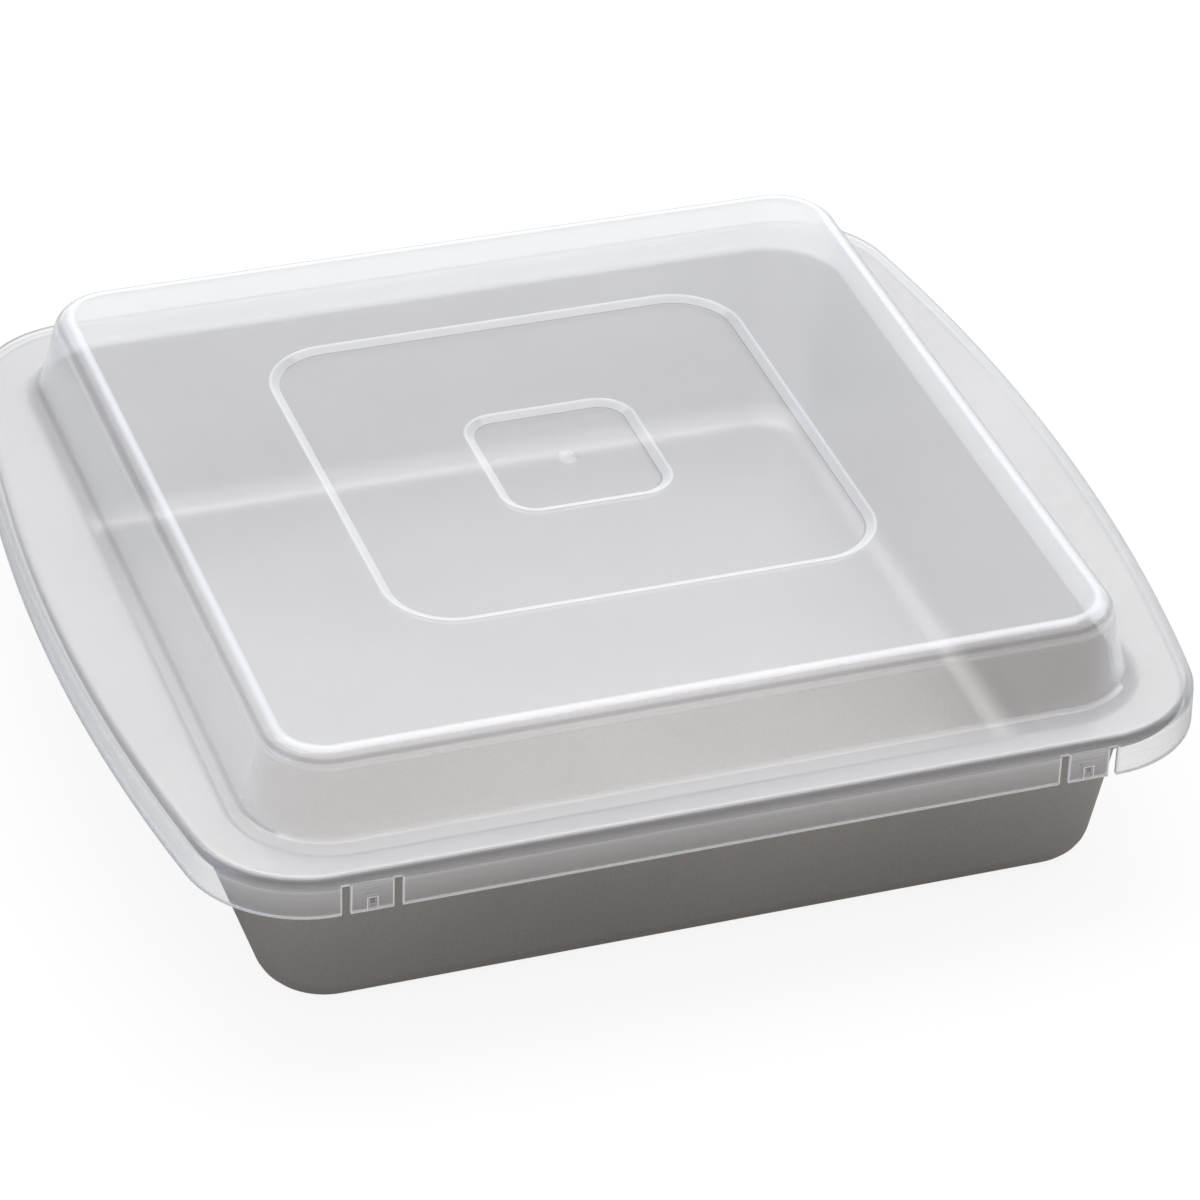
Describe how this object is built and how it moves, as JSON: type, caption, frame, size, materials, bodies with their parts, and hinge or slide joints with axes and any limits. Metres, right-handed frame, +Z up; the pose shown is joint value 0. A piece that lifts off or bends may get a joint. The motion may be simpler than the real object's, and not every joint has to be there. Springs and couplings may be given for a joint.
{
  "type": "brownie pan with lid",
  "caption": "Square non-stick baking pan with bowed side rims and a translucent domed cover that clicks over its rolled edge.",
  "frame": {"origin": "on the table under the middle of the pan", "axes": "+X across the two bowed side rims, +Y from front to back, +Z up"},
  "size_m": [0.2726, 0.2516, 0.0738],
  "materials": {
    "coated_steel": "warm grey non-stick coating on sheet steel, satin, finely speckled",
    "cover_plastic": "milky translucent moulded plastic, smooth, satin gloss"
  },
  "bodies": {
    "pan": {"pan": "coated_steel"},
    "lid": {"lid": "cover_plastic"},
    "snap_tab_front_left": {"snap_tab_front_left": "cover_plastic"},
    "snap_tab_front_right": {"snap_tab_front_right": "cover_plastic"},
    "snap_tab_back_left": {"snap_tab_back_left": "cover_plastic"},
    "snap_tab_back_right": {"snap_tab_back_right": "cover_plastic"}
  },
  "joints": [
    {"name": "lid_lift", "type": "slide", "parent": "pan", "child": "lid", "axis": [0, 0, 1], "range_m": [0, 0.1]},
    {"name": "tab_bend_front_left", "type": "hinge", "parent": "lid", "child": "snap_tab_front_left", "pos_m": [-0.0898, -0.12549, 0.0504], "axis": [-1, 0, 0], "range_deg": [0, 12], "stiffness_Nm_per_rad": 0.02},
    {"name": "tab_bend_front_right", "type": "hinge", "parent": "lid", "child": "snap_tab_front_right", "pos_m": [0.0898, -0.12549, 0.0504], "axis": [-1, 0, 0], "range_deg": [0, 12], "stiffness_Nm_per_rad": 0.02},
    {"name": "tab_bend_back_left", "type": "hinge", "parent": "lid", "child": "snap_tab_back_left", "pos_m": [-0.0898, 0.12549, 0.0504], "axis": [1, 0, 0], "range_deg": [0, 12], "stiffness_Nm_per_rad": 0.02},
    {"name": "tab_bend_back_right", "type": "hinge", "parent": "lid", "child": "snap_tab_back_right", "pos_m": [0.0898, 0.12549, 0.0504], "axis": [1, 0, 0], "range_deg": [0, 12], "stiffness_Nm_per_rad": 0.02}
  ]
}
